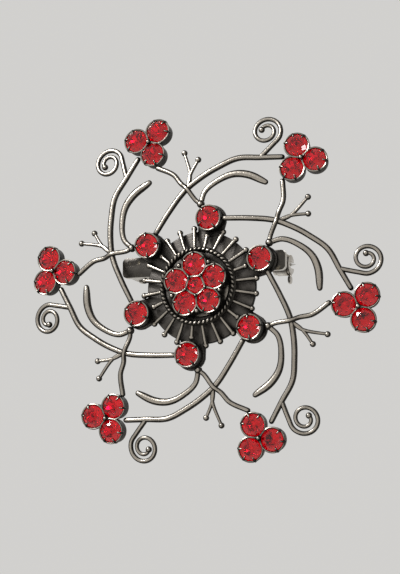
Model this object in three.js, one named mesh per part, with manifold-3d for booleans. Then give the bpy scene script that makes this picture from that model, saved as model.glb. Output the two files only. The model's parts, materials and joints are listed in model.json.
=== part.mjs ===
// Domed pinwheel brooch of soldered scroll wire, set with round red stones, with a
// hinged pin and a turning safety catch behind.
// Millimetres. +Z is up as worn, the face looks along -Y, +X is to the viewer's right.
// The origin is the middle of the pin bar's back face, which lies against the cloth.
import * as THREE from 'three';
import { mergeVertices } from 'three/addons/utils/BufferGeometryUtils.js';
import Module from 'manifold-3d';

const wasm = await Module();
wasm.setup();

// Wheel layout: radii from the wheel's axis, heights forward of the pin bar's back face
const REPEATS = 6;
const ARM_SPAN = 17.3;
const FIRST_TREFOIL_ANGLE = 50.8;
const FIRST_SINGLE_ANGLE = 20.8;
const DOME_RISE = 4;
const RIM_HEIGHT = 0.3;
const WHEEL_DROP = 4.6;

// Gap kept between soldered neighbours, and between pieces inside a leaning trefoil
const SOLDER_GAP = 0.05;
const JOIN_GAP = 0.3;

// Round stones
const STONE_DIAMETER = 4.2;
const CENTRE_STONE_DIAMETER = 3.1;
const PAVILION_SHARE = 0.42;
const CROWN_SHARE = 0.17;
const TABLE_SHARE = 0.56;
const GIRDLE = 0.2;
const STONE_SIDES = 8;

// Cups that the stones sit in, bored past their rims so that the cut is clean
const CUP_WALL = 0.3;
const SEAT_CLEARANCE = 0.07;
const LEDGE = 0.35;
const CUP_FLOOR = 0.35;
const STONE_SPACING = 0.3;
const CUP_SIDES = 12;
const OVERCUT = 1;
const TREFOIL_STONES = 3;
const TREFOIL_LEAN = 10;
const FLOWER_STONES = 5;
const FLOWER_TURN = 94;
const FLOWER_BASE_HEIGHT = 1.2;

// Scroll wires
const ARM_WIRE = 1.15;
const LINK_WIRE = 1.0;
const SCROLL_WIRE = 0.95;
const LEAF_WIRE = 1.0;
const LEAF_SWELL = 1.9;
const BUD_WIRE = 0.8;
const BEAD_DIAMETER = 1.5;
const LINK_LIFT = 0.45;
const SCROLL_RADIUS = 3.1;
const SCROLL_EYE = 0.95;
const SCROLL_TURNS = 1.6;
const SCROLL_CLEARANCE = 0.5;
const SCROLL_START = -20;
const SCROLL_POINTS_PER_TURN = 10;
const LEAF_TIP_LOSS = 0.45;
const LEAF_TIP_SHARPNESS = 8;
const WIRE_SIDES = 6;
const BEAD_SIDES = 8;
const BEAD_RINGS = 5;
const ARM_STEPS = 14;
const SCROLL_STEPS = 26;
const LINK_STEPS = 8;
const LEAF_STEPS = 8;
const BUD_STEPS = 3;

// Routes of the wires: [share of the way from the singles out to the trefoils,
// degrees ahead of the arm's own trefoil], and the angles at which wires leave a cup
const ARM_ROUTE = [[0.164, 61.2], [0.327, 48.8], [0.455, 39.2], [0.573, 31.2], [0.705, 23.2],
  [0.79, 14.2]];
const LINK_ROUTE = [[0.548, 53.6], [0.423, 50.4], [0.345, 47], [0.207, 42.2]];
const LINK_CROSSING = 2;
const LEAF_ROUTE = [[0.295, 36.2], [0.415, 30.2], [0.523, 22.8], [0.569, 15.2], [0.58, 6.2]];
const BUD_ROUTE = [[0.345, 47], [0.496, 45]];
const BUD_TIPS = [[0.76, 47.2], [0.66, 41]];
const ARM_EXIT = -83;
const BEAD_EXIT = 41.7;

// Rosette of rays round the middle, and the plate that carries rosette and singles
const RAYS = 24;
const RAY_WIDTH = 1.05;
const RAY_SETBACK = 1.3;
const RAY_END_STEPS = 4;
const SHORT_RAY = 2.7;
const ROSETTE_BAND = 1.0;
const BAND_CLEARANCE = 0.1;
const ROSETTE_THICKNESS = 0.9;
const ROSETTE_RISE = 1.3;
const PLATE_SETBACK = 1.0;
const PLATE_THICKNESS = 1.0;
const PLATE_LOBE_MARGIN = 0.25;

// Pin bar, hinge and pin stem
const BAR_LENGTH = 32;
const BAR_MARGIN = 0.35;
const BAR_THICKNESS = 1.2;
const PIN_STANDOFF = 5;
const PIN_DIAMETER = 1.0;
const PIN_POINT_LENGTH = 4.5;
const PIN_POINT_WAIST = 0.7;
const PIN_OVERHANG = 0.9;
const HINGE_INSET = 2.0;
const KNUCKLE_DIAMETER = 2.8;
const KNUCKLE_WIDTH = 1.5;
const EAR_THICKNESS = 0.7;
const EAR_DIAMETER = 3.0;
const HINGE_SIDE_PLAY = 0.1;
const RIVET_DIAMETER = 1.0;
const RIVET_CLEARANCE = 0.06;
const RIVET_HEAD_DIAMETER = 1.8;
const RIVET_HEAD_HEIGHT = 0.4;
const EAR_SEGMENTS = 8;
const KNUCKLE_SEGMENTS = 10;
const RIVET_SIDES = 16;
const PIN_SIDES = 10;

// Safety catch
const CATCH_INSET = 2.4;
const CATCH_LENGTH = 2.0;
const CATCH_WALL = 0.65;
const CATCH_STALK_WIDTH = 1.8;
const ROTOR_WALL = 0.62;
const ROTOR_CLEARANCE = 0.08;
const ROTOR_PIN_CLEARANCE = 0.15;
const ROTOR_FLANGE_RISE = 0.55;
const ROTOR_FLANGE_THICKNESS = 0.5;
const ROTOR_END_PLAY = 0.12;
const LEVER_LENGTH = 3.6;
const LEVER_WIDTH = 1.2;
const SLOT_CLEARANCE = 0.1;
const BARREL_SIDES = 20;
const BORE_SIDES = 12;

const metal = (name, color, roughness) => new THREE.MeshStandardMaterial({
  name, color, roughness, metalness: 1,
});
const PEWTER = metal('antique_pewter', 0x6d6862, 0.42);
const BLACKENED = metal('blackened_pewter', 0x2b2926, 0.6);
const STEEL = metal('pin_steel', 0xb9b9b6, 0.25);
const BRASS = metal('plated_brass', 0xa8a39a, 0.32);
const RUBY = new THREE.MeshStandardMaterial({
  name: 'red_glass', color: 0xa30d26, roughness: 0.08, metalness: 0,
});

const radians = THREE.MathUtils.degToRad;

// Cups follow their stones, and the rings follow the cups
const girdleHeight = (diameter) => CUP_FLOOR + PAVILION_SHARE * diameter + SEAT_CLEARANCE;
const cupRadius = (diameter) => diameter / 2 + SEAT_CLEARANCE + CUP_WALL;
const cupHeight = (diameter) => girdleHeight(diameter) + GIRDLE;
const ringOfStones = (count) => (STONE_DIAMETER + STONE_SPACING) / 2 / Math.sin(Math.PI / count);
const flowerRing = ringOfStones(FLOWER_STONES);
const flowerReach = flowerRing + cupRadius(STONE_DIAMETER);
const trefoilOffset = ringOfStones(TREFOIL_STONES);
const trefoilReach = trefoilOffset + cupRadius(STONE_DIAMETER);
const bandInner = flowerReach + BAND_CLEARANCE;
const bandOuter = bandInner + ROSETTE_BAND;
const singlesRing = bandOuter + SHORT_RAY + JOIN_GAP + cupRadius(STONE_DIAMETER);
const trefoilRing = singlesRing + ARM_SPAN;
const rayTip = singlesRing - RAY_SETBACK;
const plateRadius = rayTip - PLATE_SETBACK;
const domeHeight = (radius) => RIM_HEIGHT + DOME_RISE * (1 - (radius / trefoilRing) ** 2);

// A point of the wheel: radius and angle seen from the front, and height forward
function wheelPoint(radius, degrees, height = domeHeight(radius)) {
  const angle = radians(degrees);
  return new THREE.Vector3(radius * Math.cos(angle), -height, radius * Math.sin(angle));
}

// A point a given distance from another, in the wheel's plane, back on the dome
function stepFrom(point, distance, degrees) {
  const angle = radians(degrees);
  const x = point.x + distance * Math.cos(angle);
  const z = point.z + distance * Math.sin(angle);
  return new THREE.Vector3(x, -domeHeight(Math.hypot(x, z)), z);
}

function toSolid(geometry) {
  const bare = geometry.index ? geometry.toNonIndexed() : geometry.clone();
  bare.deleteAttribute('normal');
  bare.deleteAttribute('uv');
  const merged = mergeVertices(bare, 1e-5);
  return new wasm.Manifold(new wasm.Mesh({
    numProp: 3,
    vertProperties: new Float32Array(merged.attributes.position.array),
    triVerts: new Uint32Array(merged.index.array),
  }));
}

function toGeometry(solid) {
  const mesh = solid.getMesh();
  const geometry = new THREE.BufferGeometry();
  geometry.setAttribute('position', new THREE.BufferAttribute(mesh.vertProperties, 3));
  geometry.setIndex(new THREE.BufferAttribute(mesh.triVerts, 1));
  geometry.computeVertexNormals();
  return geometry;
}

const unite = (geometries) => toGeometry(
  geometries.map(toSolid).reduce((whole, piece) => whole.add(piece)),
);
const cut = (geometry, tools) => toGeometry(
  tools.map(toSolid).reduce((whole, tool) => whole.subtract(tool), toSolid(geometry)),
);

// A turned piece standing forward: outline of [radius, height] from the back of the axis
function turned(outline, sides) {
  const points = outline.map(([radius, height]) => new THREE.Vector2(radius, -height));
  return new THREE.LatheGeometry(points.reverse(), sides);
}

// Round wire along a curve, its thickness following profile(0..1)
function wire(points, diameter, steps, profile = () => 1) {
  const path = new THREE.CatmullRomCurve3(points, false, 'centripetal');
  const section = new THREE.Shape();
  for (let side = 0; side < WIRE_SIDES; side += 1) {
    const angle = (2 * Math.PI * side) / WIRE_SIDES;
    const x = (diameter / 2) * Math.cos(angle);
    const y = (diameter / 2) * Math.sin(angle);
    if (side === 0) section.moveTo(x, y);
    else section.lineTo(x, y);
  }
  const geometry = new THREE.ExtrudeGeometry(section, { steps, extrudePath: path });
  const stations = path.getSpacedPoints(steps);
  const position = geometry.attributes.position;
  const corner = new THREE.Vector3();
  for (let i = 0; i < position.count; i += 1) {
    corner.fromBufferAttribute(position, i);
    let nearest = 0;
    stations.forEach((station, k) => {
      if (station.distanceTo(corner) < stations[nearest].distanceTo(corner)) nearest = k;
    });
    corner.sub(stations[nearest]).multiplyScalar(profile(nearest / steps));
    corner.add(stations[nearest]);
    position.setXYZ(i, corner.x, corner.y, corner.z);
  }
  return geometry;
}

// A cut stone, and the cup that fits it
function stoneGeometry(diameter) {
  const radius = diameter / 2;
  return turned([
    [0, -PAVILION_SHARE * diameter],
    [radius, -GIRDLE / 2],
    [radius, GIRDLE / 2],
    [TABLE_SHARE * radius, GIRDLE / 2 + CROWN_SHARE * diameter],
    [0, GIRDLE / 2 + CROWN_SHARE * diameter],
  ], STONE_SIDES);
}

function cupBlank(diameter, base = 0) {
  return turned([
    [0, -base],
    [cupRadius(diameter), -base],
    [cupRadius(diameter), cupHeight(diameter)],
    [0, cupHeight(diameter)],
  ], CUP_SIDES);
}

function cupBore(diameter) {
  const seat = diameter / 2 + SEAT_CLEARANCE;
  const ledge = girdleHeight(diameter) - GIRDLE / 2 - (2 * PAVILION_SHARE * LEDGE) - SEAT_CLEARANCE;
  return turned([
    [0, CUP_FLOOR],
    [seat - LEDGE, CUP_FLOOR],
    [seat - LEDGE, ledge],
    [seat, ledge],
    [seat, cupHeight(diameter) + OVERCUT],
    [0, cupHeight(diameter) + OVERCUT],
  ], CUP_SIDES);
}

const moved = (geometry, x, z) => geometry.translate(x, 0, z);
const around = (count, start, radius) => Array.from({ length: count }, (_, k) => {
  const angle = radians(start + (360 * k) / count);
  return [radius * Math.cos(angle), radius * Math.sin(angle)];
});

const part = new THREE.Group();
const wheel = new THREE.Group();
wheel.position.set(0, 0, -WHEEL_DROP);
part.add(wheel);

function addMesh(parent, name, geometry, material) {
  const mesh = new THREE.Mesh(geometry, material);
  mesh.name = name;
  parent.add(mesh);
  return mesh;
}

// Plate: a disc with a lobe under each single stone's cup, soldered on the pin bar
const plateBack = BAR_THICKNESS + SOLDER_GAP;
const plateFront = plateBack + PLATE_THICKNESS;
const lobeRadius = cupRadius(STONE_DIAMETER) + PLATE_LOBE_MARGIN;
const disc = turned([
  [0, plateBack],
  [plateRadius, plateBack],
  [plateRadius, plateFront],
  [0, plateFront],
], 2 * RAYS);
const lobes = around(REPEATS, FIRST_SINGLE_ANGLE, singlesRing).map(([x, z]) => moved(turned([
  [0, plateBack],
  [lobeRadius, plateBack],
  [lobeRadius, plateFront],
  [0, plateFront],
], CUP_SIDES), x, z));
addMesh(wheel, 'back_plate', unite([disc, ...lobes]), BLACKENED);

// Flower in the middle: five stones round a small one, in one cluster of cups
const flowerFloor = plateFront + SOLDER_GAP + FLOWER_BASE_HEIGHT;
const flowerPlaces = around(FLOWER_STONES, FLOWER_TURN, flowerRing);
const flowerMiddleLift = girdleHeight(STONE_DIAMETER) - girdleHeight(CENTRE_STONE_DIAMETER);
const flowerBlanks = flowerPlaces.map(([x, z]) => (
  moved(cupBlank(STONE_DIAMETER, FLOWER_BASE_HEIGHT), x, z)
));
const middleBlank = turned([
  [0, -FLOWER_BASE_HEIGHT],
  [flowerRing, -FLOWER_BASE_HEIGHT],
  [flowerRing, girdleHeight(STONE_DIAMETER) - GIRDLE],
  [0, girdleHeight(STONE_DIAMETER) - GIRDLE],
], CUP_SIDES);
const flowerBores = flowerPlaces.map(([x, z]) => moved(cupBore(STONE_DIAMETER), x, z));
const middleBore = cupBore(CENTRE_STONE_DIAMETER).translate(0, -flowerMiddleLift, 0);
const flowerSetting = cut(
  unite([middleBlank, ...flowerBlanks]),
  [middleBore, ...flowerBores],
).translate(0, -flowerFloor, 0);
addMesh(wheel, 'flower_setting', flowerSetting, PEWTER);
flowerPlaces.forEach(([x, z], k) => {
  const stone = addMesh(wheel, `flower_stone_${k + 1}`, stoneGeometry(STONE_DIAMETER), RUBY);
  stone.position.set(x, -flowerFloor - girdleHeight(STONE_DIAMETER), z);
});
const middleStone = addMesh(wheel, 'flower_stone_middle', stoneGeometry(CENTRE_STONE_DIAMETER), RUBY);
middleStone.position.set(0, -flowerFloor - girdleHeight(STONE_DIAMETER), 0);

// Rosette: a band round the flower with rays that run out and down to the plate,
// the ones in line with a single stone cut short of its cup
const rayHalf = RAY_WIDTH / 2;
const rayRoot = Math.sqrt(bandOuter ** 2 - rayHalf ** 2);
const clearOfCup = cupRadius(STONE_DIAMETER) + JOIN_GAP + rayHalf;
const rosetteShape = new THREE.Shape();
for (let ray = 0; ray < RAYS; ray += 1) {
  const degrees = FIRST_TREFOIL_ANGLE + (360 * ray) / RAYS;
  const toSingle = radians((degrees - FIRST_SINGLE_ANGLE) % (360 / REPEATS));
  const offset = Math.min(toSingle, (2 * Math.PI) / REPEATS - toSingle);
  const aside = singlesRing * Math.sin(offset);
  const room = singlesRing * Math.cos(offset) - Math.sqrt(Math.max(clearOfCup ** 2 - aside ** 2, 0));
  const tip = aside > clearOfCup ? rayTip - rayHalf : Math.min(rayTip - rayHalf, room);
  const angle = radians(degrees);
  const edge = (along, across) => new THREE.Vector2(
    along * Math.cos(angle) - across * Math.sin(angle),
    along * Math.sin(angle) + across * Math.cos(angle),
  );
  const root = edge(rayRoot, -rayHalf);
  if (ray === 0) rosetteShape.moveTo(root.x, root.y);
  else rosetteShape.lineTo(root.x, root.y);
  for (let step = 0; step <= RAY_END_STEPS; step += 1) {
    const turn = radians(-90 + (180 * step) / RAY_END_STEPS);
    const point = edge(tip + rayHalf * Math.cos(turn), rayHalf * Math.sin(turn));
    rosetteShape.lineTo(point.x, point.y);
  }
  const back = edge(rayRoot, rayHalf);
  rosetteShape.lineTo(back.x, back.y);
}
const rosetteHole = new THREE.Path();
rosetteHole.absarc(0, 0, bandInner, 0, 2 * Math.PI, true);
rosetteShape.holes.push(rosetteHole);
const rosette = new THREE.ExtrudeGeometry(rosetteShape, {
  depth: ROSETTE_THICKNESS, bevelEnabled: false, curveSegments: RAYS / 2,
}).rotateX(Math.PI / 2);
const rosetteCorners = rosette.attributes.position;
for (let i = 0; i < rosetteCorners.count; i += 1) {
  const radius = Math.hypot(rosetteCorners.getX(i), rosetteCorners.getZ(i));
  const rise = ROSETTE_RISE * ((rayTip - radius) / (rayTip - bandInner));
  rosetteCorners.setY(i, rosetteCorners.getY(i) - rise - plateFront - SOLDER_GAP);
}
addMesh(wheel, 'ray_rosette', rosette, PEWTER);

// Single stones in their cups, standing on the plate's lobes
const singleCup = cut(cupBlank(STONE_DIAMETER), [cupBore(STONE_DIAMETER)]);
around(REPEATS, FIRST_SINGLE_ANGLE, singlesRing).forEach(([x, z], k) => {
  const cup = addMesh(wheel, `single_cup_${k + 1}`, singleCup.clone(), PEWTER);
  cup.position.set(x, -plateFront - SOLDER_GAP, z);
  const stone = addMesh(wheel, `single_stone_${k + 1}`, stoneGeometry(STONE_DIAMETER), RUBY);
  stone.position.set(x, -plateFront - SOLDER_GAP - girdleHeight(STONE_DIAMETER), z);
});

// Trefoils: three stones in joined cups, one towards the middle, leaning with the dome
const trefoilBack = cupHeight(STONE_DIAMETER) / 2;
const trefoilPlaces = around(TREFOIL_STONES, 180, trefoilOffset);
const trefoilCups = cut(
  unite(trefoilPlaces.map(([x, z]) => moved(cupBlank(STONE_DIAMETER), x, z))),
  trefoilPlaces.map(([x, z]) => moved(cupBore(STONE_DIAMETER), x, z)),
).translate(0, trefoilBack, 0);
for (let k = 0; k < REPEATS; k += 1) {
  const degrees = FIRST_TREFOIL_ANGLE + (360 * k) / REPEATS;
  const trefoil = new THREE.Group();
  trefoil.position.copy(wheelPoint(trefoilRing, degrees));
  trefoil.rotation.set(0, -radians(degrees), radians(TREFOIL_LEAN), 'YZX');
  wheel.add(trefoil);
  addMesh(trefoil, `trefoil_cups_${k + 1}`, trefoilCups.clone(), PEWTER);
  trefoilPlaces.forEach(([x, z], s) => {
    const name = `trefoil_stone_${k + 1}_${s + 1}`;
    const stone = addMesh(trefoil, name, stoneGeometry(STONE_DIAMETER), RUBY);
    stone.position.set(x, trefoilBack - girdleHeight(STONE_DIAMETER), z);
  });
}

// Scroll arms: the wires that carry one trefoil, soldered to each other
function scrollArm(trefoilAngle) {
  const along = ([share, ahead]) => wheelPoint(
    singlesRing + share * (trefoilRing - singlesRing),
    trefoilAngle + ahead,
  );
  const step = 360 / REPEATS;
  const ownTrefoil = wheelPoint(trefoilRing, trefoilAngle);
  const nextTrefoil = wheelPoint(trefoilRing, trefoilAngle + step);
  const beadSingle = wheelPoint(singlesRing, trefoilAngle + step / 2);
  const armSingle = wheelPoint(singlesRing, trefoilAngle + step * 1.5);
  const cup = cupRadius(STONE_DIAMETER);

  // The arm ends in the notch between two cups, square to both
  const reach = cup + ARM_WIRE / 2 + JOIN_GAP;
  const halfSpacing = (STONE_DIAMETER + STONE_SPACING) / 2;
  const notch = trefoilOffset / 2 + Math.sqrt(reach ** 2 - halfSpacing ** 2);
  const armStart = stepFrom(armSingle, cup + JOIN_GAP, trefoilAngle + step * 1.5 + ARM_EXIT);
  const armEnd = stepFrom(ownTrefoil, notch, trefoilAngle + 180 - step);
  const arm = wire([armStart, ...ARM_ROUTE.map(along), armEnd], ARM_WIRE, ARM_STEPS);

  // The scroll leaves the arm, passes the trefoil and curls in on itself
  const scrollOffset = trefoilReach + SCROLL_CLEARANCE + SCROLL_RADIUS + SCROLL_WIRE / 2;
  const eye = stepFrom(ownTrefoil, scrollOffset, trefoilAngle + 90);
  const turns = [along(ARM_ROUTE.at(-1))];
  const count = Math.round(SCROLL_TURNS * SCROLL_POINTS_PER_TURN);
  for (let k = 0; k <= count; k += 1) {
    const radius = SCROLL_RADIUS + (SCROLL_EYE - SCROLL_RADIUS) * (k / count);
    const angle = trefoilAngle - 90 + SCROLL_START + (360 * SCROLL_TURNS * k) / count;
    turns.push(stepFrom(eye, radius, angle));
  }
  const scroll = wire(turns, SCROLL_WIRE, SCROLL_STEPS);

  // A bead by the single stone sends out the link and the leaf
  const beadDistance = cup + BEAD_DIAMETER / 2 + JOIN_GAP / 2;
  const beadPoint = stepFrom(beadSingle, beadDistance, trefoilAngle + step / 2 + BEAD_EXIT);
  const bead = new THREE.SphereGeometry(BEAD_DIAMETER / 2, BEAD_SIDES, BEAD_RINGS);
  bead.translate(beadPoint.x, beadPoint.y, beadPoint.z);
  const linkStart = stepFrom(nextTrefoil, trefoilReach + JOIN_GAP, trefoilAngle + step + 180);
  const linkMiddle = LINK_ROUTE.map(along);
  linkMiddle[LINK_CROSSING].y -= LINK_LIFT;
  const link = wire([linkStart, ...linkMiddle, beadPoint], LINK_WIRE, LINK_STEPS);
  const swell = (share) => (
    1 + (LEAF_SWELL / LEAF_WIRE - 1) * share ** 2 * (1 - LEAF_TIP_LOSS * share ** LEAF_TIP_SHARPNESS)
  );
  const leaf = wire([beadPoint, ...LEAF_ROUTE.map(along)], LEAF_WIRE, LEAF_STEPS, swell);
  const buds = BUD_TIPS.map((tip) => wire([...BUD_ROUTE, tip].map(along), BUD_WIRE, BUD_STEPS));
  return unite([arm, scroll, bead, link, leaf, ...buds]);
}

for (let k = 0; k < REPEATS; k += 1) {
  const degrees = FIRST_TREFOIL_ANGLE + (360 * k) / REPEATS;
  addMesh(wheel, `scroll_arm_${k + 1}`, scrollArm(degrees), PEWTER);
}

// Pin bar with the two hinge ears folded up from it, and a slot for the catch's stalk
const hingeX = -BAR_LENGTH / 2 + HINGE_INSET;
const catchX = BAR_LENGTH / 2 - CATCH_INSET;
const earInner = KNUCKLE_WIDTH / 2 + HINGE_SIDE_PLAY;
const earOuter = earInner + EAR_THICKNESS;
const bar = new THREE.BoxGeometry(BAR_LENGTH, BAR_THICKNESS, 2 * (earOuter + BAR_MARGIN));
bar.translate(0, -BAR_THICKNESS / 2, 0);
const earShape = new THREE.Shape();
earShape.moveTo(hingeX - EAR_DIAMETER / 2, -BAR_THICKNESS / 2);
earShape.lineTo(hingeX + EAR_DIAMETER / 2, -BAR_THICKNESS / 2);
earShape.lineTo(hingeX + EAR_DIAMETER / 2, PIN_STANDOFF);
earShape.absarc(hingeX, PIN_STANDOFF, EAR_DIAMETER / 2, 0, Math.PI, false);
earShape.closePath();
const rivetHole = new THREE.Path();
rivetHole.absarc(hingeX, PIN_STANDOFF, RIVET_DIAMETER / 2 + RIVET_CLEARANCE, 0, 2 * Math.PI, true);
earShape.holes.push(rivetHole);
const ears = [-earOuter, earInner].map((low) => (
  new THREE.ExtrudeGeometry(earShape, {
    depth: EAR_THICKNESS, bevelEnabled: false, curveSegments: EAR_SEGMENTS,
  }).translate(0, 0, low)
));
const stalkSlot = new THREE.BoxGeometry(
  CATCH_LENGTH + 2 * SOLDER_GAP,
  3 * BAR_THICKNESS,
  CATCH_STALK_WIDTH + 2 * SOLDER_GAP,
).translate(catchX, 0, 0);
addMesh(part, 'pin_bar', cut(unite([bar, ...ears]), [stalkSlot]), BRASS);

// Hinge rivet, headed over outside both ears
const rivetOutline = [
  [0, -earOuter - HINGE_SIDE_PLAY - RIVET_HEAD_HEIGHT],
  [RIVET_HEAD_DIAMETER / 2, -earOuter - HINGE_SIDE_PLAY - RIVET_HEAD_HEIGHT],
  [RIVET_HEAD_DIAMETER / 2, -earOuter - HINGE_SIDE_PLAY],
  [RIVET_DIAMETER / 2, -earOuter - HINGE_SIDE_PLAY],
  [RIVET_DIAMETER / 2, earOuter + HINGE_SIDE_PLAY],
  [RIVET_HEAD_DIAMETER / 2, earOuter + HINGE_SIDE_PLAY],
  [RIVET_HEAD_DIAMETER / 2, earOuter + HINGE_SIDE_PLAY + RIVET_HEAD_HEIGHT],
  [0, earOuter + HINGE_SIDE_PLAY + RIVET_HEAD_HEIGHT],
];
const rivet = turned(rivetOutline, RIVET_SIDES).rotateX(Math.PI / 2);
rivet.translate(hingeX, PIN_STANDOFF, 0);
addMesh(part, 'hinge_rivet', rivet, BRASS);

// Pin stem: knuckle on the rivet, round wire, ground to a point past the catch
const rotorHalf = CATCH_LENGTH / 2 + ROTOR_END_PLAY + ROTOR_FLANGE_THICKNESS;
const pinTip = catchX + rotorHalf + PIN_OVERHANG;
const knuckleShape = new THREE.Shape();
knuckleShape.absarc(hingeX, PIN_STANDOFF, KNUCKLE_DIAMETER / 2, 0, 2 * Math.PI, false);
const knuckleHole = new THREE.Path();
knuckleHole.absarc(hingeX, PIN_STANDOFF, RIVET_DIAMETER / 2 + RIVET_CLEARANCE, 0, 2 * Math.PI, true);
knuckleShape.holes.push(knuckleHole);
const knuckle = new THREE.ExtrudeGeometry(knuckleShape, {
  depth: KNUCKLE_WIDTH, bevelEnabled: false, curveSegments: KNUCKLE_SEGMENTS,
}).translate(0, 0, -KNUCKLE_WIDTH / 2);
const stemRoot = hingeX + (RIVET_DIAMETER + KNUCKLE_DIAMETER) / 4;
const stem = turned([
  [0, stemRoot],
  [PIN_DIAMETER / 2, stemRoot],
  [PIN_DIAMETER / 2, pinTip - PIN_POINT_LENGTH],
  [(PIN_POINT_WAIST * PIN_DIAMETER) / 2, pinTip - PIN_POINT_LENGTH / 2],
  [0, pinTip],
], PIN_SIDES).rotateZ(Math.PI / 2);
stem.translate(0, PIN_STANDOFF, 0);
addMesh(part, 'pin_stem', unite([knuckle, stem]), STEEL);

// Catch body: a slit barrel open towards the back, on a stalk set through the bar
const rotorBore = PIN_DIAMETER / 2 + ROTOR_PIN_CLEARANCE;
const rotorRadius = rotorBore + ROTOR_WALL;
const catchBore = rotorRadius + ROTOR_CLEARANCE;
const catchRadius = catchBore + CATCH_WALL;
const slotWidth = 2 * (rotorBore - SLOT_CLEARANCE / 2);
const barrel = (radius, from, to, sides = BARREL_SIDES) => turned([
  [0, from],
  [radius, from],
  [radius, to],
  [0, to],
], sides).rotateZ(Math.PI / 2).translate(0, PIN_STANDOFF, 0);
const slot = (radius, from, to) => new THREE.BoxGeometry(to - from, radius, slotWidth)
  .translate((from + to) / 2, PIN_STANDOFF + radius / 2, 0);
const catchFrom = catchX - CATCH_LENGTH / 2;
const catchTo = catchX + CATCH_LENGTH / 2;
const stalkTop = PIN_STANDOFF - catchBore;
const stalk = new THREE.BoxGeometry(CATCH_LENGTH, stalkTop + BAR_THICKNESS, CATCH_STALK_WIDTH);
stalk.translate(catchX, (stalkTop - BAR_THICKNESS) / 2, 0);
addMesh(part, 'catch_body', cut(unite([barrel(catchRadius, catchFrom, catchTo), stalk]), [
  barrel(catchBore, catchFrom - OVERCUT, catchTo + OVERCUT),
  slot(catchRadius + OVERCUT, catchFrom - OVERCUT, catchTo + OVERCUT),
]), BRASS);

// Catch rotor: a slit spool that turns in the barrel, with a thumb lever outboard
const flangeRadius = rotorRadius + ROTOR_FLANGE_RISE;
const flangeFrom = catchTo + ROTOR_END_PLAY;
const flangeTo = flangeFrom + ROTOR_FLANGE_THICKNESS;
const lever = new THREE.BoxGeometry(ROTOR_FLANGE_THICKNESS, LEVER_WIDTH, LEVER_LENGTH - rotorBore);
lever.translate((flangeFrom + flangeTo) / 2, PIN_STANDOFF, -(LEVER_LENGTH + rotorBore) / 2);
addMesh(part, 'catch_rotor', cut(unite([
  barrel(rotorRadius, catchFrom - ROTOR_END_PLAY, catchTo + ROTOR_END_PLAY),
  barrel(flangeRadius, flangeFrom, flangeTo),
  barrel(flangeRadius, catchX - rotorHalf, catchFrom - ROTOR_END_PLAY),
  lever,
]), [
  barrel(rotorBore, catchX - rotorHalf - OVERCUT, flangeTo + OVERCUT, BORE_SIDES),
  slot(flangeRadius + OVERCUT, catchX - rotorHalf - OVERCUT, flangeTo + OVERCUT),
]), BRASS);

export default part;
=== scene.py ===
import json
from math import atan2, cos, hypot, pi, radians, sin, sqrt

import bmesh
import bpy
from mathutils import Matrix, Vector
from mathutils.geometry import interpolate_bezier


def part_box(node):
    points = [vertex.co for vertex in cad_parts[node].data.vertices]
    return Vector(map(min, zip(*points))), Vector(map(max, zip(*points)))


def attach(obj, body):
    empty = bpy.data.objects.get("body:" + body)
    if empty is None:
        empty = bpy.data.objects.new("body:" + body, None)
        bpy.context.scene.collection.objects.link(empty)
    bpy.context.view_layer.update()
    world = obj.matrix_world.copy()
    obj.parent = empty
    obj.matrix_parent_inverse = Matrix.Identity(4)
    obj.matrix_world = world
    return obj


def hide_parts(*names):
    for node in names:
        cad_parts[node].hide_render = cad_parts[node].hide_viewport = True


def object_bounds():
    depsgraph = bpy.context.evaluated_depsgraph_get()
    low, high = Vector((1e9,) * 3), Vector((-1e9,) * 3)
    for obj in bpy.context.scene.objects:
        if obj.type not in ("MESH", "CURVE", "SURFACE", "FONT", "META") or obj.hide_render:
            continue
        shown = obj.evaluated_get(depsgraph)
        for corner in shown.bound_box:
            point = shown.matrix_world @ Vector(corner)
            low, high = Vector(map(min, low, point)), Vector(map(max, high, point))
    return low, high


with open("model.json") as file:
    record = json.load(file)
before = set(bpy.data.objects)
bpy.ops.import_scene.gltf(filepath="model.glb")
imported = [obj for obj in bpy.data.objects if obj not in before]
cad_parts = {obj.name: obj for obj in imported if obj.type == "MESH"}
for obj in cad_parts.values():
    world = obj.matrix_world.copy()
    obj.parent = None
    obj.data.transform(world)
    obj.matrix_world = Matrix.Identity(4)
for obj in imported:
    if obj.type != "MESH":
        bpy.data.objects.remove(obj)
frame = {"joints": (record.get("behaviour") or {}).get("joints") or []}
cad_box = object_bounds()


# ---- Camera, floor and light ------------------------------------------------------------
# The brooch hangs upright as it is worn, its face forward, high over a plain pale floor.
# The camera stands to one side of it and a little below it, and soft boxes and a pale
# room light it.
MM = 0.001
CAMERA_AZIMUTH = 19
CAMERA_ELEVATION = -9
CAMERA_DISTANCE = 0.62
CAMERA_LENS = 210
CAMERA_NEAREST = 0.01
FACE_FORWARD = 3 * MM
LAMP_DISTANCE = 0.5
LAMPS = (
    # name, azimuth, elevation, size, watts
    ("key_box", -42, 38, 0.10, 2.0),
    ("side_box", 70, 5, 0.12, 0.7),
    ("back_box", 160, 45, 0.12, 0.6),
)
FLOOR_DROP = 120 * MM
FLOOR_SIZE = 8
FLOOR_ROUGHNESS = 0.9
PALE = (0.80, 0.79, 0.77, 1)
FLOOR_PAINT = (0.66, 0.65, 0.63, 1)
ROOM_STRENGTH = 0.80

lowest, highest = cad_box
face_centre = Vector(((lowest.x + highest.x) / 2, -FACE_FORWARD, (lowest.z + highest.z) / 2))


def aimed(thing, azimuth, elevation, distance):
    """Puts a camera or lamp that far from the brooch, facing it; azimuth 0 is in front."""
    across = distance * cos(radians(elevation))
    away = Vector((
        across * sin(radians(azimuth)),
        -across * cos(radians(azimuth)),
        distance * sin(radians(elevation)),
    ))
    thing.location = face_centre + away
    thing.rotation_euler = (-away).to_track_quat("-Z", "Y").to_euler()
    bpy.context.scene.collection.objects.link(thing)
    return thing


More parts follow.
